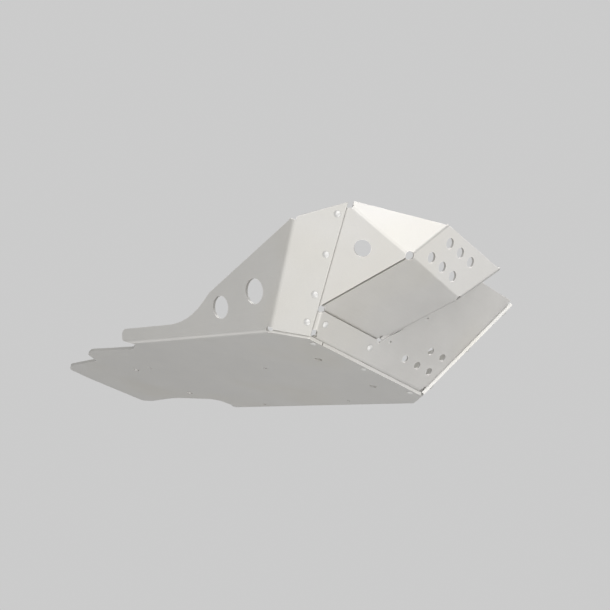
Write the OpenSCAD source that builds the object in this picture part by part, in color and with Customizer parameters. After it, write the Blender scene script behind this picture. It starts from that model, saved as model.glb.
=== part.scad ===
// Skid plate of folded aluminium sheet: a main sheet with a flat bottom, two
// side panels and two front chamfers, and a riveted front guard with a bulge.
// Frame: +X forward, +Y to the left, +Z up, millimetres.
// The origin is the middle of the front pair of fixing holes, on the underside.

/* [Sheets] */
// Thickness of the main sheet
sheet_t = 4; // [3:0.5:5]
// Thickness of the front guard's sheet
guard_t = 3; // [2:0.5:3.5]
// Outer radius of the folds of the side panels
side_fold_r = 8; // [6:1:10]
// Outer radius of the folds between side panels and chamfers
chamfer_fold_r = 15; // [10:1:18]
// Outer radius of the guard's folds
guard_fold_r = 6; // [5:0.5:7]
// Gap between sheets that lie on each other
lap_gap = 0.1; // [0.05:0.05:0.3]
// Height of the press marks along the folds
press_mark = 0.05; // [0.04:0.01:0.1]

/* [Bottom plate] */
// Width between the two side folds
plate_w = 276.4; // [270:0.2:282]
// Width of the front edge
front_w = 215; // [210:1:220]
// Length of the tapered front corners
corner_l = 39.7; // [36:0.1:44]
// Gap between the chamfers' lower edges and the bottom plate
corner_gap = 0.2; // [0.1:0.05:0.5]
// Radius of the front edge's right corner
front_right_r = 1.5; // [1:0.5:4]
// Radius of the front edge's left corner
front_left_r = 9; // [3:0.5:12]
// Index notch in the front edge, to the left
notch_y = -84.5; // [-90:0.5:-60]
// Width and depth of the index notch
notch_w = 1.6; // [1:0.1:2.5]
// Rear end of the right side fold, behind the front edge
fold_end_right = 305; // [295:1:312]
// Rear end of the left side fold, behind the front edge
fold_end_left = 383; // [370:1:388]
// Tail outline from the right fold to the left one: behind the front edge, to the left, corner radius
tail_outline = [
    [312, -126, 6], [330, -117, 14], [421, -120, 25], [441.5, -110, 9],
    [455, -84, 3], [538, -71, 30], [556, -58, 10], [562, -20, 30],
    [563, 92, 6], [541.5, 95, 12], [502, 88, 60], [471, 84, 50],
    [401, 94, 30], [389, 104, 10], [385, 128, 6]
];

/* [Side panels] */
// Flare of the side panels from upright, in degrees
side_flare = 23.5; // [21:0.5:26]
// Height of the low rear stretch, along the panel
rear_h = 19.5; // [16:0.5:24]
// Height of the chamfer's fold, along the fold
chamfer_fold_l = 140; // [134:1:143]
// Reach of the rounded rear end behind the fold
ear_l = 20; // [16:1:26]
// Radius of the rear end's upper corner
ear_r = 9; // [6:0.5:12]
// Height of the rear end's lower corner, along the panel
ear_low = 4; // [2:0.5:6]
// Upper outline from the rear to the front: behind the front edge, along the panel, corner radius
upper_outline = [[185, 19.6, 110], [141, 54.5, 25]];
// Diameter of the rear side hole
rear_side_hole_d = 28.6; // [20:0.2:32]
// Diameter of the front side hole
front_side_hole_d = 31; // [20:0.2:34]
// Rear side hole: behind the front edge, along the panel
rear_side_hole = [122, 35];
// Front side hole: behind the front edge, along the panel
front_side_hole = [59, 50];

/* [Front chamfers] */
// Forward reach of the front edge's top
front_top_x = 74.4; // [70:0.2:78]
// Half width at the front edge's top
front_top_half_w = 163.9; // [160:0.1:167]
// Height of the front edge's top
front_top_z = 142.5; // [138:0.5:147]
// Top corner by the fold: along the lower edge, up the chamfer
chamfer_corner = [20.4, 144.6];
// Diameter of the relief holes at the chamfers' lower corners
corner_relief_d = 8; // [6:0.5:10]

/* [Front guard] */
// Height of the fold above the lower strip
strip_z = 32.6; // [28:0.2:36]
// Height of the lower face's top edge
guard_top_z = 145.9; // [140:0.1:150]
// Bulge's right corner: to the left, up
bulge_right = [-90.5, 101.2];
// Bulge's lower left corner: to the left, up
bulge_left = [22, 92.8];
// Bulge's ridge at its top: forward, to the left, up
ridge_top = [129.9, -47.9, 157.3];
// Bulge's upper left corner: to the left, up
bulge_top = [75.6, 151.9];
// Left end of the strip's fold
strip_end_y = -8; // [-14:1:-2]
// Corner of the top facet by the chamfer: to the left, up
top_corner = [-154, 148.4];
// Height of the top facet's lower corner
top_fold_z = 141.5; // [139:0.1:143]
// Gap between the inner edges of the right face and the bulge
slot_w = 0.3; // [0.2:0.05:1]
// Width of the slit beside the bulge's foot, at its wide end
slit_w = 2.6; // [1:0.1:3]
// Narrow end of the slit: to the left, up the face
slit_end = [17, 64.7];
// Height of the bulge's lap behind the strip
lap_h = 22; // [20:1:24]
// Left end of the lap, in from the strip's end
lap_end = 2; // [1.5:0.5:4]
// Width of the flanges behind the chamfers
side_flange_w = 22; // [18:1:24]
// Drop of the side flanges' rear top corners
flange_drop = 12; // [8:1:20]
// Height of the side flanges' lower ends
foot_z = 9; // [8:0.5:12]
// Depth of the flange on the bottom plate
bottom_flange_w = 16; // [13:0.5:18]
// Half length of the flange on the bottom plate
bottom_flange_half = 100; // [96:1:101]

/* [Holes] */
// Diameter of the front fixing holes
front_fixing_d = 10; // [8:0.2:10]
// Diameter of the rear fixing holes
rear_fixing_d = 9; // [8:0.2:10]
// Distance between the two fixing holes of a pair
fixing_pitch = 105; // [100:1:110]
// Front pair, behind the front edge
front_fixing_x = 48; // [45:0.5:52]
// Rear pair, behind the front edge
rear_fixing_x = 416; // [410:1:418]
// Middle of each pair, to the left of the plate's middle
fixing_offset_y = 12; // [8:0.5:14]
// Diameter of the small holes in the bottom
small_hole_d = 5; // [4:0.1:6]
// Small holes in the bottom: behind the front edge, to the left
small_holes = [[380, -43], [166, -20], [314, 125], [141, 119]];
// Diameter of the bulge's vent holes
vent_d = 13.5; // [10:0.5:15]
// Pitch of the vent holes along a row
vent_pitch = 24.6; // [22:0.2:26]
// Distance between the two rows of vent holes
vent_row_gap = 29; // [24:0.5:31]
// Offset of the upper row along the row
vent_shift = 18.5; // [12:0.5:20]
// First vent hole: to the left, up
vent_first = [-55, 114.1];
// Diameter of the lower face's drain holes
drain_d = 10; // [8:0.5:11]
// Drain holes: to the left, up the face
drain_holes = [[46.2, 32], [70.8, 32], [94.6, 32], [78.9, 56], [102.9, 56]];
// Diameter of the hole in the right face
right_hole_d = 20.4; // [16:0.2:22]
// Hole in the right face: to the left, up
right_hole = [-125.2, 101.4];
// Pilot holes: to the left, up the face, diameter
pilot_holes = [[8.8, 42, 4], [43.8, 90.8, 2]];

/* [Reliefs] */
// Relief hole at the bulge's right corner
right_relief_d = 10.6; // [9:0.2:12]
// Relief hole at the strip's right end
strip_relief_d = 8.6; // [8:0.2:10]
// Relief hole at the strip fold's left end
fold_end_relief_d = 6; // [5:0.5:7]
// Relief hole at the bulge's lower left corner
left_relief_d = 7; // [6:0.5:8]
// Relief holes at the guard's lower corners
foot_relief_d = 8; // [7:0.5:9]
// Foot reliefs beyond the ends of the bottom flange
foot_relief_out = 5; // [4:0.5:7]

/* [Rivets] */
// Diameter of a rivet's shank
rivet_d = 4; // [3.2:0.2:4.8]
// Diameter of a rivet's head
rivet_head_d = 8; // [7:0.2:10]
// Height of a rivet's head
rivet_head_h = 1.7; // [1.4:0.1:2]
// Height of the head's straight rim
rivet_rim_h = 0.5; // [0.2:0.1:0.6]
// Diameter of a rivet's formed tail
rivet_tail_d = 6.2; // [5.6:0.2:7]
// Length of a rivet's formed tail
rivet_tail_h = 2.8; // [2:0.2:3.5]
// Radial clearance of a shank in its hole
rivet_clearance = 0.05; // [0.02:0.01:0.1]
// Rivets in from the chamfers' front edge
rivet_inset = 8; // [7:0.5:9]
// Rivets of the right chamfer, along its front edge
right_rivets = [19, 54, 104, 154];
// Rivets of the left chamfer, along its front edge
left_rivets = [18, 87, 156];
// Right rivet of the strip, in from the strip's right end
strip_rivet_right_in = 16.7; // [14:0.1:20]
// Left rivet of the strip, in from the strip's left end
strip_rivet_left_in = 8.1; // [7:0.1:12]
// Rivets of the strip, up the face
strip_rivet_s = 24; // [22:0.5:26]
// Rivets of the bottom flange, to the left
bottom_rivets = [-92, 0, 92];
// Rivets of the bottom flange, behind the front edge
bottom_rivet_x = 8; // [7:0.5:10]

/* [Hidden] */
$fn = 72;
bend_run = 0.3;
top_fold_start = 2.7;
seat_gap = 0.02;
drill_axis = [0.3, 0.9, 0.1];
bend_lap = 0.2;
arc_steps = 6;
drill_l = 40;

// Vectors and planes
function unit(v) = v / norm(v);
function normal_of(a, b, c) = unit(cross(b - a, c - a));
function flip_y(p) = [p[0], -p[1], p[2]];
function between(na, nb) = acos(na * nb);
function setback(r, na, nb) = r * tan(between(na, nb) / 2);
function hit_x(y, z, n, d) = [(d - n[1] * y - n[2] * z) / n[0], y, z];
function meet_3(na, da, nb, db, nc, dc) =
    (da * cross(nb, nc) + db * cross(nc, na) + dc * cross(na, nb)) / (na * cross(nb, nc));

// Flat outlines
function side(v) = [-v[1], v[0]];
function turn_sum(pts) = let (n = len(pts))
    [for (i = [0:n - 1]) let (a = pts[i], b = pts[(i + 1) % n]) a[0] * b[1] - a[1] * b[0]];
function total(list, i = 0) = i < len(list) ? list[i] + total(list, i + 1) : 0;
function line_meet(p, d, q, e) =
    p + d * (((q - p)[0] * e[1] - (q - p)[1] * e[0]) / (d[0] * e[1] - d[1] * e[0]));
function inset_outline(pts, ins) = let (n = len(pts), w = sign(total(turn_sum(pts))))
    [for (i = [0:n - 1])
        let (j = (i + n - 1) % n, b = pts[i], d = unit(b - pts[j]), e = unit(pts[(i + 1) % n] - b))
        line_meet(b + w * ins[j] * side(d), d, b + w * ins[i] * side(e), e)];
function corner_arc(a, b, c, r) =
    let (d = unit(a - b), e = unit(c - b), half = acos(d * e) / 2,
        m = b + unit(d + e) * r / sin(half), s = b + d * r / tan(half) - m, f = b + e * r / tan(half) - m,
        w = sign(s[0] * f[1] - s[1] * f[0]), sweep = w * acos(s * f / (r * r)))
    [for (k = [0:arc_steps]) let (q = sweep * k / arc_steps)
        m + [s[0] * cos(q) - s[1] * sin(q), s[0] * sin(q) + s[1] * cos(q)]];
function rounded(pts) = let (n = len(pts))
    [for (i = [0:n - 1]) let (p = pts[i], b = [p[0], p[1]], a = pts[(i + n - 1) % n], c = pts[(i + 1) % n])
        each (p[2] > 0 ? corner_arc([a[0], a[1]], b, [c[0], c[1]], p[2]) : [b])];

// Planes of the main sheet, right side
down = [0, 0, -1];
fold_y = -plate_w / 2;
taper_start = corner_l - 0.6;
taper_in = 1;
front_right = [0, -front_w / 2, 0];
corner_right = [-corner_l, fold_y, 0];
top_right = [front_top_x, -front_top_half_w, front_top_z];
side_up = [0, -sin(side_flare), cos(side_flare)];
side_n = [0, -cos(side_flare), -sin(side_flare)];
chamfer_n = normal_of(corner_right, front_right, top_right);
chamfer_u = unit(front_right - corner_right);
chamfer_v = cross(chamfer_n, chamfer_u);
fold_dir = unit(cross(side_n, chamfer_n));
chamfer_fold_up = fold_dir[2] > 0 ? fold_dir : -fold_dir;
chamfer_fold_top = corner_right + chamfer_fold_up * chamfer_fold_l;
chamfer_top = corner_right + chamfer_u * chamfer_corner[0] + chamfer_v * chamfer_corner[1];
front_edge = unit(top_right - front_right);
edge_in = unit(corner_right - front_right - front_edge * ((corner_right - front_right) * front_edge));

// Planes of the guard
face_n = unit([front_top_z, 0, -front_top_x]);
function on_face(y, z) = hit_x(y, z, face_n, 0);
function up_face(y, s) = on_face(y, s * face_n[0]);
right_d = chamfer_n * front_right - sheet_t - lap_gap;
function on_right(y, z) = hit_x(y, z, chamfer_n, right_d);
function edge_at(z) = meet_3(face_n, 0, chamfer_n, right_d, down, -z);
lap_in = guard_t + lap_gap;
v_strip = edge_at(strip_z);
v_fold = on_face(strip_end_y, strip_z);
v_lap = v_strip - face_n * lap_in;
v_right = on_right(bulge_right[0], bulge_right[1]);
lower_up = normal_of(v_lap, v_fold - face_n * lap_in, v_right);
lower_n = lower_up * sign(lower_up[0]);
v_left = hit_x(bulge_left[0], bulge_left[1], lower_n, lower_n * v_lap);
front_n = normal_of(v_right, v_left, ridge_top);
v_top_left = hit_x(bulge_top[0], bulge_top[1], front_n, front_n * v_left);
wall_up = normal_of(v_fold, v_left, v_top_left);
wall_n = -wall_up * sign(wall_up[2]);
v_low_right = meet_3(face_n, -lap_in, lower_n, lower_n * v_lap, chamfer_n, right_d);
v_low = meet_3(face_n, -lap_in, lower_n, lower_n * v_lap, wall_n, wall_n * v_fold);
v_foot = meet_3(face_n, 0, wall_n, wall_n * v_fold, down, -guard_top_z);
v_top_fold = edge_at(top_fold_z) + top_fold_start * unit(v_right - edge_at(top_fold_z));
top_n = normal_of(v_top_fold, v_right, ridge_top) * (normal_of(v_top_fold, v_right, ridge_top)[1] < 0 ? 1 : -1);
v_top_corner = hit_x(top_corner[0], top_corner[1], top_n, top_n * v_right);
flange_z = sheet_t + lap_gap;
flange_in = unit(cross(chamfer_n, front_edge));
flange_back = -flange_in * sign(flange_in[0]);

// Places local x, y and z along u, v and n at p
module place(p, u, v, n) {
    multmatrix([
        [u[0], v[0], n[0], p[0]],
        [u[1], v[1], n[1], p[1]],
        [u[2], v[2], n[2], p[2]],
        [0, 0, 0, 1]
    ]) children();
}

// A flat facet behind its outer face, with each edge drawn in by its own amount
module facet(points, ins, n, t) {
    u = unit(points[1] - points[0]);
    v = cross(n, u);
    flat = [for (p = points) [(p - points[0]) * u, (p - points[0]) * v]];
    place(points[0] - n * t, u, v, n)
        linear_extrude(t)
            polygon(inset_outline(flat, ins));
}

// A fold along p to q between outer faces with normals na and nb
module fold(p, q, na, nb, r, t, trim_p, trim_q, hollow = false) {
    axis = unit(cross(na, nb));
    forward = (q - p) * axis > 0;
    start = forward ? p : q;
    trim = forward ? trim_p : trim_q;
    sense = hollow ? -1 : 1;
    half = between(na, nb) / 2;
    centre = start - sense * unit(na + nb) * r / cos(half);
    lap = bend_lap / r * 180 / PI;
    low = hollow ? r - press_mark : r - t - press_mark;
    high = hollow ? r + t + press_mark : r + press_mark;
    x_dir = sense * na;
    place(centre + axis * trim, x_dir, cross(axis, x_dir), axis)
        rotate([0, 0, -lap])
            rotate_extrude(angle = 2 * half + 2 * lap)
                translate([low, 0])
                    square([high - low, norm(q - p) - trim_p - trim_q]);
}

// A round hole through a sheet, along n
module drill(p, n, d) {
    u = unit(cross(n, drill_axis));
    place(p, u, cross(n, u), n)
        cylinder(d = d, h = drill_l, center = true);
}

module mirrored(left) {
    mirror([0, left ? 1 : 0, 0]) children();
}

module in_frame() {
    translate([front_fixing_x, -fixing_offset_y, 0]) children();
}

// Where the rivets go: point on the outer face and outward normal
function right_rivet(k) = front_right + front_edge * right_rivets[k] + edge_in * rivet_inset;
function left_rivet(k) = flip_y(front_right + front_edge * left_rivets[k] + edge_in * rivet_inset);
strip_rivets = [v_strip[1] + strip_rivet_right_in, strip_end_y - strip_rivet_left_in];
function strip_rivet(k) = up_face(strip_rivets[k], strip_rivet_s);
function bottom_rivet(k) = [-bottom_rivet_x, bottom_rivets[k], 0];

module rivet_holes() {
    hole_d = rivet_d + 2 * rivet_clearance;
    for (k = [0:len(right_rivets) - 1]) drill(right_rivet(k), chamfer_n, hole_d);
    for (k = [0:len(left_rivets) - 1]) drill(left_rivet(k), flip_y(chamfer_n), hole_d);
    for (k = [0:len(bottom_rivets) - 1]) drill(bottom_rivet(k), down, hole_d);
}

module strip_rivet_holes() {
    for (k = [0:len(strip_rivets) - 1])
        drill(strip_rivet(k), face_n, rivet_d + 2 * rivet_clearance);
}

// The flat bottom with its tapered corners, tail and notch
module bottom_sheet() {
    cut = setback(side_fold_r, down, side_n) - bend_run;
    edge_y = -fold_y - cut;
    right_y = fold_y + cut;
    outline = concat(
        [[-taper_start - cut, right_y, 0], [-fold_end_right, right_y, 0]],
        [for (p = tail_outline) [-p[0], p[1], p[2]]],
        [[-fold_end_left, edge_y, 0], [-taper_start - cut, edge_y, 0]],
        [[-corner_l, -fold_y - taper_in, 0], [0, front_w / 2, front_left_r]],
        [[0, -front_w / 2, front_right_r], [-corner_l, fold_y + taper_in, 0]]
    );
    difference() {
        linear_extrude(sheet_t) polygon(rounded(outline));
        for (s = [-1, 1]) {
            translate([-front_fixing_x, fixing_offset_y + s * fixing_pitch / 2, 0])
                cylinder(d = front_fixing_d, h = drill_l, center = true);
            translate([-rear_fixing_x, fixing_offset_y + s * fixing_pitch / 2, 0])
                cylinder(d = rear_fixing_d, h = drill_l, center = true);
        }
        for (p = small_holes)
            translate([-p[0], p[1], 0]) cylinder(d = small_hole_d, h = drill_l, center = true);
        translate([-notch_w, notch_y - notch_w / 2, -1]) cube([notch_w + 1, notch_w, sheet_t + 2]);
    }
}

// Drawn on the right side panel's outer face: x forward, y up the panel
module on_panel() {
    place([0, fold_y, 0], [1, 0, 0], side_up, side_n) children();
}

// One side panel
module side_sheet(rear) {
    low = setback(side_fold_r, down, side_n) - bend_run;
    draw_in = setback(chamfer_fold_r, side_n, chamfer_n) - bend_run;
    slope = chamfer_fold_up[0] / (chamfer_fold_up * side_up);
    reach = draw_in * sqrt(1 + slope * slope);
    top_y = (chamfer_fold_top - corner_right) * side_up;
    outline = concat(
        [[-rear - ear_l, low, 0], [-rear - ear_l, rear_h, ear_r]],
        [for (p = upper_outline) [-p[0], p[1], p[2]]],
        [[-corner_l + slope * top_y - reach, top_y, 0], [-corner_l + slope * low - reach, low, 0]]
    );
    on_panel()
        translate([0, 0, -sheet_t])
            difference() {
                linear_extrude(sheet_t) polygon(rounded(outline));
                translate([-rear_side_hole[0], rear_side_hole[1], 0])
                    cylinder(d = rear_side_hole_d, h = drill_l, center = true);
                translate([-front_side_hole[0], front_side_hole[1], 0])
                    cylinder(d = front_side_hole_d, h = drill_l, center = true);
            }
}

// One side panel with its fold, cut on the slant below its rear end
module folded_side(rear) {
    fold_v = setback(side_fold_r, down, side_n) * side_n[2];
    difference() {
        union() {
            side_sheet(rear);
            fold([-rear - ear_l, fold_y, 0], corner_right, down, side_n, side_fold_r, sheet_t, 0.6, 2);
        }
        on_panel()
            translate([0, 0, -side_fold_r - 1])
                linear_extrude(side_fold_r + 3)
                    polygon([[-rear, fold_v - sheet_t], [-rear, fold_v], [-rear - ear_l, ear_low],
                        [-rear - 2 * ear_l, ear_low], [-rear - 2 * ear_l, fold_v - sheet_t]]);
    }
}

// One front chamfer with its fold to the side panel
module chamfer_sheet() {
    draw_in = setback(chamfer_fold_r, side_n, chamfer_n) - bend_run;
    lower_gap = sheet_t * chamfer_v[2] + corner_gap;
    facet([corner_right, front_right, top_right, chamfer_top, chamfer_fold_top],
        [lower_gap, 0, 0, 0, draw_in], chamfer_n, sheet_t);
    fold(corner_right, chamfer_fold_top, side_n, chamfer_n, chamfer_fold_r, sheet_t, 6, 0.5);
}

module main_plate() {
    in_frame() color("lightgray")
        difference() {
            union() {
                bottom_sheet();
                for (left = [false, true]) {
                    rear = left ? fold_end_left : fold_end_right;
                    mirrored(left) {
                        folded_side(rear);
                        chamfer_sheet();
                    }
                }
            }
            for (left = [false, true])
                mirrored(left)
                    drill(corner_right + [0, 0, 2], unit(down + side_n + chamfer_n), corner_relief_d);
            rivet_holes();
        }
}

// The lower face with its strip, and the bulge above it
module guard_faces() {
    r = guard_fold_r;
    t = guard_t;
    corner_in = setback(r, face_n, chamfer_n) - bend_run;
    foot_in = setback(r, face_n, down) - bend_run;
    lap_fold_in = setback(r, face_n, lower_n) - bend_run;
    slot_in = slot_w / 2 + setback(t, lower_n, chamfer_n);
    lap_right = v_lap + [0, strip_rivet_right_in - rivet_head_d, 0];
    lap_left = v_lap + [0, strip_end_y - v_lap[1] - lap_end, 0];
    lap_down = up_face(0, lap_h) - up_face(0, 0);
    crease_in = setback(r, face_n, wall_n) - bend_run;
    wall_in = setback(r, lower_n, wall_n) - bend_run;
    nose_in = setback(r, lower_n, front_n) - bend_run;
    cheek_in = setback(r, front_n, wall_n) - bend_run;
    ridge_in = setback(r, top_n, front_n) - bend_run;
    top_in = setback(r, top_n, chamfer_n) - bend_run;
    facet([edge_at(flange_z), v_strip, v_fold, v_foot, flip_y(edge_at(guard_top_z)), flip_y(edge_at(flange_z))],
        [corner_in, 0, crease_in, 0, corner_in, foot_in], face_n, t);
    facet([lap_right, lap_left, lap_left - lap_down, lap_right - lap_down], [lap_fold_in, 0, 0, 0], face_n, t);
    facet([v_low_right, v_right, v_left, v_low], [slot_in, nose_in, wall_in, lap_fold_in], lower_n, t);
    facet([v_right, ridge_top, v_top_left, v_left], [ridge_in, 0, cheek_in, nose_in], front_n, t);
    facet([v_fold, v_low, v_left, v_top_left, v_foot], [0, wall_in, cheek_in, 0, crease_in], wall_n, t);
    facet([v_top_fold, v_right, ridge_top, v_top_corner], [top_in, ridge_in, 0, 0], top_n, t);
    facet([edge_at(foot_z), v_strip, v_low_right, v_right, v_top_fold,
            v_top_fold + flange_back * side_flange_w - front_edge * flange_drop,
            edge_at(foot_z) + flange_back * side_flange_w],
        [corner_in, 0, slot_in, top_in, 0, 0, 0], chamfer_n, t);
    fold(edge_at(foot_z), v_strip, face_n, chamfer_n, r, t, 1, 2);
    fold(lap_right, lap_left, face_n, lower_n, r, t, 1, 1, true);
    fold(v_fold, v_foot, face_n, wall_n, r, t, 2, 0, true);
    fold(v_low, v_left, lower_n, wall_n, r, t, 3, 4);
    fold(v_right, v_left, lower_n, front_n, r, t, 4, 2.5);
    fold(v_left, v_top_left, front_n, wall_n, r, t, 2.5, 0);
    fold(v_right, ridge_top, top_n, front_n, r, t, 4, 0);
    fold(v_top_fold, v_right, top_n, chamfer_n, r, t, 0, 4);
}

// A slit that narrows along the foot of the bulge's left wall
module slit() {
    a = [strip_end_y, strip_z / face_n[0]];
    d = unit(slit_end - a);
    m = -side(d);
    place([0, 0, 0], [0, 1, 0], unit(up_face(0, 1)), face_n)
        translate([0, 0, -2 * guard_t])
            linear_extrude(4 * guard_t)
                polygon([a - m * slit_w / 2, a + m * slit_w, slit_end + d]);
}

module front_guard() {
    r = guard_fold_r;
    t = guard_t;
    left_n = flip_y(chamfer_n);
    corner_in = setback(r, face_n, chamfer_n) - bend_run;
    foot_in = setback(r, face_n, down) - bend_run;
    left_foot = flip_y(edge_at(foot_z));
    left_top = flip_y(edge_at(top_fold_z));
    back = flip_y(flange_back) * side_flange_w;
    foot = edge_at(flange_z);
    half = bottom_flange_half;
    row = unit(v_left - v_right);
    rise = unit(cross(row, front_n)) * sign(cross(row, front_n)[2]);
    vent_1 = hit_x(vent_first[0], vent_first[1], front_n, front_n * v_left);
    in_frame() color("silver")
        difference() {
            union() {
                guard_faces();
                facet([left_foot, left_top, left_top + back - flip_y(front_edge) * flange_drop, left_foot + back],
                    [corner_in, 0, 0, 0], left_n, t);
                fold(left_foot, left_top, face_n, left_n, r, t, 1, 1);
                facet([[foot[0], -half, flange_z], [foot[0], half, flange_z],
                        [foot[0] - bottom_flange_w, half, flange_z], [foot[0] - bottom_flange_w, -half, flange_z]],
                    [foot_in, 0, 0, 0], down, t);
                fold([foot[0], -half, flange_z], [foot[0], half, flange_z], face_n, down, r, t, 1, 1);
            }
            drill(v_right, unit(chamfer_n + front_n), right_relief_d);
            drill(v_strip, unit(chamfer_n + lower_n), strip_relief_d);
            drill(v_fold, unit(face_n + lower_n), fold_end_relief_d);
            drill(v_left, unit(lower_n + front_n + wall_n), left_relief_d);
            for (s = [-1, 1])
                drill(on_face(s * (half + foot_relief_out), foot_relief_d), face_n, foot_relief_d);
            for (k = [0:2]) {
                drill(vent_1 + row * vent_pitch * k, front_n, vent_d);
                drill(vent_1 + row * (vent_pitch * k + vent_shift) + rise * vent_row_gap, front_n, vent_d);
            }
            for (p = drain_holes) drill(up_face(p[0], p[1]), face_n, drain_d);
            drill(on_right(right_hole[0], right_hole[1]), chamfer_n, right_hole_d);
            for (p = pilot_holes) drill(up_face(p[0], p[1]), face_n, p[2]);
            slit();
            rivet_holes();
            strip_rivet_holes();
        }
}

// A blind rivet: domed head outside, shank and formed tail inside
module rivet(p, n, grip) {
    cap_h = rivet_head_h - rivet_rim_h;
    dome_r = (pow(rivet_head_d / 2, 2) + pow(cap_h, 2)) / (2 * cap_h);
    u = unit(cross(n, drill_axis));
    in_frame() color("gainsboro") place(p, u, cross(n, u), n)
        union() {
            intersection() {
                translate([0, 0, rivet_head_h - dome_r]) sphere(r = dome_r);
                translate([0, 0, seat_gap]) cylinder(d = rivet_head_d, h = rivet_head_h);
            }
            translate([0, 0, -grip - rivet_tail_h / 2])
                cylinder(d = rivet_d, h = grip + rivet_tail_h / 2 + rivet_rim_h);
            translate([0, 0, -grip - seat_gap - rivet_tail_h]) cylinder(d = rivet_tail_d, h = rivet_tail_h);
        }
}

chamfer_grip = sheet_t + lap_gap + guard_t;
strip_grip = guard_t + lap_gap + guard_t;

main_plate();
front_guard();
rivet(right_rivet(0), chamfer_n, chamfer_grip);  // rivet_right_1
rivet(right_rivet(1), chamfer_n, chamfer_grip);  // rivet_right_2
rivet(right_rivet(2), chamfer_n, chamfer_grip);  // rivet_right_3
rivet(right_rivet(3), chamfer_n, chamfer_grip);  // rivet_right_4
rivet(left_rivet(0), flip_y(chamfer_n), chamfer_grip);  // rivet_left_1
rivet(left_rivet(1), flip_y(chamfer_n), chamfer_grip);  // rivet_left_2
rivet(left_rivet(2), flip_y(chamfer_n), chamfer_grip);  // rivet_left_3
rivet(strip_rivet(0), face_n, strip_grip);  // rivet_strip_right
rivet(strip_rivet(1), face_n, strip_grip);  // rivet_strip_left
rivet(bottom_rivet(0), down, chamfer_grip);  // rivet_bottom_right
rivet(bottom_rivet(1), down, chamfer_grip);  // rivet_bottom_middle
rivet(bottom_rivet(2), down, chamfer_grip);  // rivet_bottom_left
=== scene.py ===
"""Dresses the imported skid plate: satin sheet metal, blind rivets, studio floor, lamps and camera."""

import logging
import math
from dataclasses import dataclass
from enum import Enum

import bpy
from mathutils import Matrix, Vector


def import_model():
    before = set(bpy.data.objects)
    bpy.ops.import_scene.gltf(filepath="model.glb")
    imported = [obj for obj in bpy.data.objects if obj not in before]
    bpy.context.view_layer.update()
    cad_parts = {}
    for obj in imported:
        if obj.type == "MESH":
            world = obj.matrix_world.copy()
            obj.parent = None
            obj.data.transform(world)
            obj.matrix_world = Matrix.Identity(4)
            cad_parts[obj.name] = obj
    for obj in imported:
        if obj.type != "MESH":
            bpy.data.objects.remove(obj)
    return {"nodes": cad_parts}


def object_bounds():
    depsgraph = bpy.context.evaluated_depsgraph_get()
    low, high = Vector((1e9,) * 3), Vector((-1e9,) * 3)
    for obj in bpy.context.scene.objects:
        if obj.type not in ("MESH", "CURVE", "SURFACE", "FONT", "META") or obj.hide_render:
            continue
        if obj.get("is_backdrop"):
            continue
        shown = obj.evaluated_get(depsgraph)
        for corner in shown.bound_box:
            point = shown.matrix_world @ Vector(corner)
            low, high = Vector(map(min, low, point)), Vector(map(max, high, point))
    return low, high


LOG = logging.getLogger("skid_plate")
SENSOR_MM = 36.0
PHOTO_PX = 610
MM = 0.001
NOISE_MEAN = 0.5
WHITE = (1.0, 1.0, 1.0)
UNSTRETCHED = (1.0, 1.0, 1.0)

Number = float | int
Colour = tuple[float, float, float]
Point = tuple[float, float, float]


class Grain(Enum):
    """Which way the faint rolling marks of a sheet run, as stretches along X, Y and Z."""

    ALONG = (14.0, 260.0, 260.0)
    ACROSS = (260.0, 14.0, 260.0)


@dataclass(frozen=True)
class Noise:
    """One layer of noise: its frequency, its octaves and how strong the finer ones are."""

    scale: float
    octaves: float
    rough: float


class Sock:
    """A socket of a node tree that takes part in Python arithmetic."""

    def __init__(self, tree: "Tree", socket: bpy.types.NodeSocket) -> None:
        """Keeps the socket and the tree that its results are added to.

        Args:
            tree: The node tree's builder.
            socket: The output socket to wrap.
        """
        self.tree = tree
        self.socket = socket

    def _math(self, operation: str, first: "Sock | Number", second: "Sock | Number",
              clamp: bool = False) -> "Sock":
        """Adds one Math node.

        Args:
            operation: The Math node's operation.
            first: Its first value.
            second: Its second value.
            clamp: Whether the result is held between 0 and 1.

        Returns:
            The node's result.
        """
        settings = {"operation": operation, "use_clamp": clamp}
        return self.tree.node("ShaderNodeMath", settings, {0: first, 1: second})

    def __add__(self, other: "Sock | Number") -> "Sock":
        """Returns the sum."""
        return self._math("ADD", self, other)

    def __radd__(self, other: Number) -> "Sock":
        """Returns the sum with a number on the left."""
        return self._math("ADD", other, self)

    def __sub__(self, other: "Sock | Number") -> "Sock":
        """Returns the difference."""
        return self._math("SUBTRACT", self, other)

    def __rsub__(self, other: Number) -> "Sock":
        """Returns the difference from a number on the left."""
        return self._math("SUBTRACT", other, self)

    def __mul__(self, other: "Sock | Number") -> "Sock":
        """Returns the product."""
        return self._math("MULTIPLY", self, other)

    def __rmul__(self, other: Number) -> "Sock":
        """Returns the product with a number on the left."""
        return self._math("MULTIPLY", other, self)

    def clamped(self) -> "Sock":
        """Returns the value held between 0 and 1."""
        return self._math("ADD", self, 0.0, clamp=True)

    def swing(self, amount: float) -> "Sock":
        """Turns a noise of 0 to 1 into one that swings about 0.

        Args:
            amount: How far it swings each way.

        Returns:
            The centred noise.
        """
        return (self - NOISE_MEAN) * (2.0 * amount)


def opaque(colour: Sock | Colour) -> Sock | tuple[float, ...]:
    """Returns a colour with full opacity, or a link as it is."""
    return colour if isinstance(colour, Sock) else (*colour, 1.0)


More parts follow.
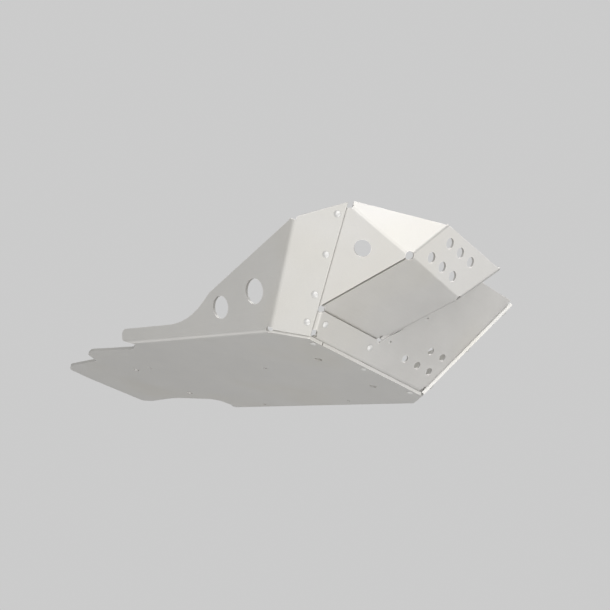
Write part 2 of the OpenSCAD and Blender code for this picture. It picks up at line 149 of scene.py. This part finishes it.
class Tree:
    """Builds one node tree, of a material or of the world.

    At a full edge, the rounded normal leans from the flat one by sharp_edge, 1 minus the cosine.
    A crevice starts, and is full, where something near hides that share of the space in front.
    The mix_ values are the places of the Mix node's colour sockets.
    """

    sharp_edge = 0.12
    edge_samples = 4
    crevice_start = 0.15
    crevice_full = 0.6
    crevice_samples = 6
    mix_share = 0
    mix_first = 6
    mix_second = 7
    mix_result = 2

    def __init__(self, owner: bpy.types.Material | bpy.types.World) -> None:
        """Empties the owner's tree.

        Args:
            owner: The material or world whose tree is built.
        """
        owner.use_nodes = True
        self.nodes = owner.node_tree.nodes
        self.links = owner.node_tree.links
        self.nodes.clear()

    def node(self, kind: str, settings: dict[str, object] | None = None,
             values: dict[str | int, object] | None = None, output: str | int = 0) -> Sock:
        """Adds a node, sets it up and connects it.

        Args:
            kind: The node's type.
            settings: Attributes that are set first, such as a Math node's operation.
            values: Values or links of its input sockets, by name or place.
            output: The output that is returned.

        Returns:
            The chosen output, or an empty one where the node has none.
        """
        made = self.nodes.new(kind)
        for name, value in (settings or {}).items():
            setattr(made, name, value)
        for key, value in (values or {}).items():
            if isinstance(value, Sock):
                self.links.new(value.socket, made.inputs[key])
            else:
                made.inputs[key].default_value = value
        return Sock(self, made.outputs[output] if made.outputs else None)

    def place(self, stretch: Point) -> Sock:
        """Reads object coordinates and stretches them.

        Args:
            stretch: Stretch along each axis.

        Returns:
            The stretched coordinates.
        """
        spot = self.node("ShaderNodeTexCoord", output="Object")
        return self.node("ShaderNodeMapping", None, {"Vector": spot, "Scale": stretch})

    def noise(self, vector: Sock, layer: Noise) -> Sock:
        """Adds a noise texture.

        Args:
            vector: Where the noise is read.
            layer: Its frequency and octaves.

        Returns:
            A value between 0 and 1.
        """
        return self.node("ShaderNodeTexNoise", {"noise_dimensions": "3D"}, {
            "Vector": vector, "Scale": layer.scale, "Detail": layer.octaves, "Roughness": layer.rough,
        })

    def mix(self, amount: Sock | Number, first: Sock | Colour, second: Sock | Colour,
            blend: str = "MIX") -> Sock:
        """Mixes two colours.

        Args:
            amount: Share of the second colour.
            first: The first colour.
            second: The second colour.
            blend: How the two are blended.

        Returns:
            The mixed colour.
        """
        values = {self.mix_share: amount, self.mix_first: opaque(first), self.mix_second: opaque(second)}
        settings = {"data_type": "RGBA", "blend_type": blend}
        return self.node("ShaderNodeMix", settings, values, output=self.mix_result)

    def shaded(self, colour: Colour, level: Sock) -> Sock:
        """Makes a colour lighter or darker.

        Args:
            colour: The plain colour.
            level: 1 where it stays as it is.

        Returns:
            The shaded colour.
        """
        grey = self.node("ShaderNodeCombineColor", None, {0: level, 1: level, 2: level})
        return self.mix(1.0, colour, grey, "MULTIPLY")

    def metal(self, colour: Sock, rough: Sock, relief: Sock, metallic: float) -> None:
        """Adds the metal's shader and the material's output.

        Args:
            colour: Its colour.
            rough: Its roughness.
            relief: Its bumped normal.
            metallic: How far it reflects as bare metal.
        """
        shader = self.node("ShaderNodeBsdfPrincipled", None, {
            "Base Color": colour, "Roughness": rough.clamped(), "Normal": relief, "Metallic": metallic,
        })
        self.node("ShaderNodeOutputMaterial", None, {"Surface": shader})

    def seen(self) -> Sock:
        """Tells what is looked at from what only gives light.

        Returns:
            1 for what the camera sees, also in a mirror or through glass, and 0 for other light.
        """
        seen = self.node("ShaderNodeLightPath", output="Is Camera Ray")
        path = seen.socket.node
        for name in ("Is Glossy Ray", "Is Transmission Ray"):
            seen = seen + Sock(self, path.outputs[name])
        return seen.clamped()

    def edges(self, reach: float) -> Sock:
        """Finds the sharp edges, which the colour makes lighter as a painted highlight.

        Args:
            reach: How far from an edge the value starts to rise, in metres.

        Returns:
            0 on flat sheet, rising to 1 at sharp edges.
        """
        rounded = self.node("ShaderNodeBevel", {"samples": self.edge_samples}, {"Radius": reach})
        flat = self.node("ShaderNodeNewGeometry", output="Normal")
        facing = self.node("ShaderNodeVectorMath", {"operation": "DOT_PRODUCT"}, {0: rounded, 1: flat},
                           output="Value")
        return self.ramp(1.0 - facing, 0.0, self.sharp_edge)

    def crevices(self, reach: float) -> Sock:
        """Finds the laps and corners, where the colour is darkened as painted shade.

        Args:
            reach: How near the other surface stands, in metres.

        Returns:
            0 on open surfaces, rising to 1 where other sheet or a rivet's head stands close.
        """
        open_share = self.node("ShaderNodeAmbientOcclusion", {"samples": self.crevice_samples},
                               {"Distance": reach}, output="AO")
        return self.ramp(1.0 - open_share, self.crevice_start, self.crevice_full)

    def ramp(self, value: Sock, low: float, high: float) -> Sock:
        """Maps a value to a smooth step.

        Args:
            value: The value to map.
            low: Where the step starts.
            high: Where the step ends.

        Returns:
            0 below low, 1 above high and a smooth step between.
        """
        return self.node("ShaderNodeMapRange", {"interpolation_type": "SMOOTHSTEP"},
                         {"Value": value, "From Min": low, "From Max": high})


@dataclass(frozen=True)
class SheetFinish:
    """Satin, bead-blasted sheet aluminium with faint clouds, rolling marks and stains, with painted
    highlights along sharp edges and painted shade in laps and corners.
    """

    name: str
    colour: Colour
    rolling: Grain
    clouds: Noise = Noise(5.0, 3.0, 0.5)
    blots: Noise = Noise(38.0, 3.0, 0.6)
    grit: Noise = Noise(1400.0, 2.0, 0.6)
    streaks: Noise = Noise(3.0, 3.0, 0.6)
    stains: Noise = Noise(5.5, 2.0, 0.5)
    stain_start: float = 0.5
    stain_full: float = 0.72
    stain_colour: Colour = (0.97, 0.96, 0.93)
    cloud_gain: float = 0.09
    blot_gain: float = 0.045
    grit_gain: float = 0.06
    streak_gain: float = 0.03
    # The next two values give the width and strength of the painted highlight along sharp edges.
    edge_mm: float = 1.2
    edge_highlight_gain: float = 0.28
    # The next two values give the reach and strength of the painted shade in laps and corners.
    crevice_mm: float = 1.6
    crevice_shade: float = 0.4
    rough: float = 0.42
    blot_rough: float = 0.05
    grit_rough: float = 0.025
    grit_share: float = 0.7
    bump_mm: float = 0.02
    bump_strength: float = 0.35
    metallic: float = 0.5

    def make(self) -> bpy.types.Material:
        """Builds the finish's material.

        Returns:
            The material.
        """
        material = bpy.data.materials.new(self.name)
        tree = Tree(material)
        metres = tree.place(UNSTRETCHED)
        clouds = tree.noise(metres, self.clouds)
        blots = tree.noise(metres, self.blots)
        grit = tree.noise(metres, self.grit)
        streaks = tree.noise(tree.place(self.rolling.value), self.streaks)
        level = 1.0 + clouds.swing(self.cloud_gain) + blots.swing(self.blot_gain)
        level = level + grit.swing(self.grit_gain) + streaks.swing(self.streak_gain)
        # Painted highlight: the colour is made lighter along sharp edges.
        level = level + tree.edges(self.edge_mm * MM) * self.edge_highlight_gain
        # Painted shade: the colour is made darker in laps, corners and round rivet heads.
        level = level - tree.crevices(self.crevice_mm * MM) * self.crevice_shade
        plain = tree.shaded(self.colour, level)
        stained = tree.mix(1.0, plain, self.stain_colour, "MULTIPLY")
        stain_share = tree.ramp(tree.noise(metres, self.stains), self.stain_start, self.stain_full)
        colour = tree.mix(stain_share, plain, stained)
        rough = self.rough + blots.swing(self.blot_rough) + grit.swing(self.grit_rough)
        height = grit * self.grit_share + streaks * (1.0 - self.grit_share)
        relief = tree.node("ShaderNodeBump", None, {
            "Height": height, "Strength": self.bump_strength, "Distance": self.bump_mm * MM,
        })
        tree.metal(colour, rough, relief, self.metallic)
        return material


@dataclass(frozen=True)
class RivetFinish:
    """Bright drawn aluminium of a blind rivet, with painted shade where the sheet stands close round its
    head.
    """

    name: str = "rivet_aluminium"
    colour: Colour = (0.66, 0.653, 0.636)
    spots: Noise = Noise(600.0, 2.0, 0.6)
    spot_gain: float = 0.1
    # The next two values give the reach and strength of the painted shade round the head.
    crevice_mm: float = 1.0
    crevice_shade: float = 0.5
    rough: float = 0.45
    spot_rough: float = 0.08
    bump_mm: float = 0.05
    bump_strength: float = 0.3
    metallic: float = 0.4

    def make(self) -> bpy.types.Material:
        """Builds the finish's material.

        Returns:
            The material.
        """
        material = bpy.data.materials.new(self.name)
        tree = Tree(material)
        spots = tree.noise(tree.place(UNSTRETCHED), self.spots)
        # Painted shade: the colour is made darker where the sheet stands close to the head.
        level = 1.0 + spots.swing(self.spot_gain) - tree.crevices(self.crevice_mm * MM) * self.crevice_shade
        rough = self.rough + spots.swing(self.spot_rough)
        relief = tree.node("ShaderNodeBump", None, {
            "Height": spots, "Strength": self.bump_strength, "Distance": self.bump_mm * MM,
        })
        tree.metal(tree.shaded(self.colour, level), rough, relief, self.metallic)
        return material


def dress(node: bpy.types.Object, material: bpy.types.Material) -> None:
    """Gives a node's whole mesh one material.

    Args:
        node: The node's object.
        material: Its finish.
    """
    if not node.material_slots:
        node.data.materials.append(material)
    for slot in node.material_slots:
        slot.material = material
    LOG.info("%s dressed in %s, %d faces", node.name, material.name, len(node.data.polygons))


@dataclass
class Sheet:
    """One folded sheet of the plate."""

    node: str
    finish: SheetFinish

    def dress(self, nodes: dict[str, bpy.types.Object]) -> None:
        """Dresses the sheet.

        Args:
            nodes: The frame's nodes by name.
        """
        dress(nodes[self.node], self.finish.make())


@dataclass
class MainSheet(Sheet):
    """The folded main sheet: bottom, side panels and front chamfers."""

    node: str = "main_plate"
    finish: SheetFinish = SheetFinish("main_sheet_satin", (0.55, 0.540, 0.518), Grain.ALONG)


@dataclass
class FrontGuard(Sheet):
    """The riveted front guard with its bulge."""

    node: str = "front_guard"
    finish: SheetFinish = SheetFinish("guard_sheet_satin", (0.55, 0.539, 0.519), Grain.ACROSS)


@dataclass
class Rivets:
    """The blind rivets that join the sheets."""

    prefix: str = "rivet_"
    finish: RivetFinish = RivetFinish()

    def dress(self, nodes: dict[str, bpy.types.Object]) -> None:
        """Dresses every rivet.

        Args:
            nodes: The frame's nodes by name.
        """
        material = self.finish.make()
        for name in sorted(nodes):
            if name.startswith(self.prefix):
                dress(nodes[name], material)


@dataclass(frozen=True)
class Softbox:
    """A large square lamp that looks at the plate, with its place and side in metres."""

    name: str
    spot: Point
    side: float
    watts: float

    def make(self, aim: Vector) -> bpy.types.Object:
        """Builds the lamp.

        Args:
            aim: The point it looks at.

        Returns:
            The lamp's object.
        """
        data = bpy.data.lights.new(self.name, "AREA")
        data.shape = "SQUARE"
        data.size = self.side
        data.energy = self.watts
        lamp = bpy.data.objects.new(self.name, data)
        bpy.context.scene.collection.objects.link(lamp)
        lamp.location = self.spot
        lamp.rotation_mode = "QUATERNION"
        lamp.rotation_quaternion = (aim - Vector(self.spot)).to_track_quat("-Z", "Y")
        return lamp


@dataclass
class Studio:
    """Floor, background, lamps and camera."""

    floor_colour: Colour = (0.22, 0.22, 0.22)
    floor_glow: float = 0.6
    floor_radius: float = 14.0
    floor_corners: int = 64
    fill: float = 0.08
    backdrop: float = 0.6
    lamps: tuple[Softbox, ...] = (
        Softbox("key_softbox", (2.1, -0.7, 1.9), 1.8, 29.5),
        Softbox("side_softbox", (0.9, -2.1, -1.4), 2.0, 16.5),
        Softbox("front_softbox", (2.2, 2.3, 0.35), 1.6, 12.8),
        Softbox("low_softbox", (2.2, 0.5, -1.5), 1.8, 16.0),
        Softbox("rear_softbox", (-2.0, -2.0, -0.6), 1.8, 5.0),
        Softbox("under_softbox", (0.35, 0.1, -1.3), 1.2, 7.2),
        Softbox("fold_softbox", (-2.0, -0.3, -1.8), 1.4, 6.0),
        Softbox("near_softbox", (2.0, -2.0, 0.1), 2.0, 34.0),
        Softbox("top_softbox", (-0.6, 0.3, 2.6), 2.0, 22.0),
    )
    camera_spot: Point = (1.14695, -1.13668, -0.43227)
    azimuth: float = 47.741
    elevation: float = -17.503
    roll: float = 12.645
    focal_px: float = 1317.0
    near_m: float = 0.05
    far_m: float = 60.0

    def add_floor(self, base_z: float) -> None:
        """Adds a pale floor that is seen from above and lets the view from below through.

        Args:
            base_z: Height of the surface that the plate rests on.
        """
        material = bpy.data.materials.new("floor_paper")
        tree = Tree(material)
        below = tree.node("ShaderNodeNewGeometry", output="Backfacing")
        paper = tree.node("ShaderNodeBsdfDiffuse", None, {"Color": opaque(self.floor_colour)})
        gone = tree.node("ShaderNodeBsdfTransparent")
        glow = tree.node("ShaderNodeEmission", None, {"Strength": tree.seen() * self.floor_glow})
        lit = tree.node("ShaderNodeAddShader", None, {0: paper, 1: glow})
        shader = tree.node("ShaderNodeMixShader", None, {0: below, 1: lit, 2: gone})
        tree.node("ShaderNodeOutputMaterial", None, {"Surface": shader})
        mesh = bpy.data.meshes.new("floor")
        turns = [math.tau * k / self.floor_corners for k in range(self.floor_corners)]
        rim = [(self.floor_radius * math.cos(a), self.floor_radius * math.sin(a), base_z) for a in turns]
        mesh.from_pydata(rim, [], [list(range(self.floor_corners))])
        mesh.materials.append(material)
        floor = bpy.data.objects.new("floor", mesh)
        bpy.context.scene.collection.objects.link(floor)
        floor.visible_diffuse = False
        floor.visible_glossy = False
        floor.visible_shadow = False
        floor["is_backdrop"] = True
        LOG.info("floor at %.4f m", base_z)

    def add_sky(self) -> None:
        """Adds the pale background and the even light around the plate."""
        world = bpy.data.worlds.new("studio")
        bpy.context.scene.world = world
        tree = Tree(world)
        strength = self.fill + tree.seen() * (self.backdrop - self.fill)
        light = tree.node("ShaderNodeBackground", None, {"Color": opaque(WHITE), "Strength": strength})
        tree.node("ShaderNodeOutputWorld", None, {"Surface": light})

    def add_camera(self) -> None:
        """Adds the camera at the photograph's viewing angle."""
        data = bpy.data.cameras.new("camera")
        data.sensor_width = SENSOR_MM
        data.sensor_fit = "HORIZONTAL"
        data.lens = self.focal_px * SENSOR_MM / PHOTO_PX
        data.clip_start = self.near_m
        data.clip_end = self.far_m
        data.dof.use_dof = False
        camera = bpy.data.objects.new("camera", data)
        bpy.context.scene.collection.objects.link(camera)
        a, e, r = (math.radians(v) for v in (self.azimuth, self.elevation, self.roll))
        back = Vector((math.sin(a) * math.cos(e), -math.cos(a) * math.cos(e), math.sin(e)))
        level = Vector((0.0, 0.0, 1.0)).cross(back).normalized()
        rise = back.cross(level)
        right = level * math.cos(r) + rise * math.sin(r)
        up = back.cross(right)
        turn = Matrix((right, up, back)).transposed()
        camera.matrix_world = Matrix.Translation(self.camera_spot) @ turn.to_4x4()
        bpy.context.scene.camera = camera

    def build(self, base_z: float, aim: Vector) -> None:
        """Builds the studio.

        Args:
            base_z: Height of the surface that the plate rests on.
            aim: The point that the lamps look at.
        """
        self.add_camera()
        self.add_floor(base_z)
        self.add_sky()
        for lamp in self.lamps:
            lamp.make(aim)
        bpy.context.scene.view_settings.view_transform = "Standard"


def main() -> None:
    """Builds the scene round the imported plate."""
    logging.basicConfig(level=logging.INFO, format="%(name)s: %(message)s")
    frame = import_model()
    cad_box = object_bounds()
    nodes = frame["nodes"]
    MainSheet().dress(nodes)
    FrontGuard().dress(nodes)
    Rivets().dress(nodes)
    Studio().build(cad_box[0].z, (cad_box[0] + cad_box[1]) / 2.0)


if __name__ == "__main__":
    main()
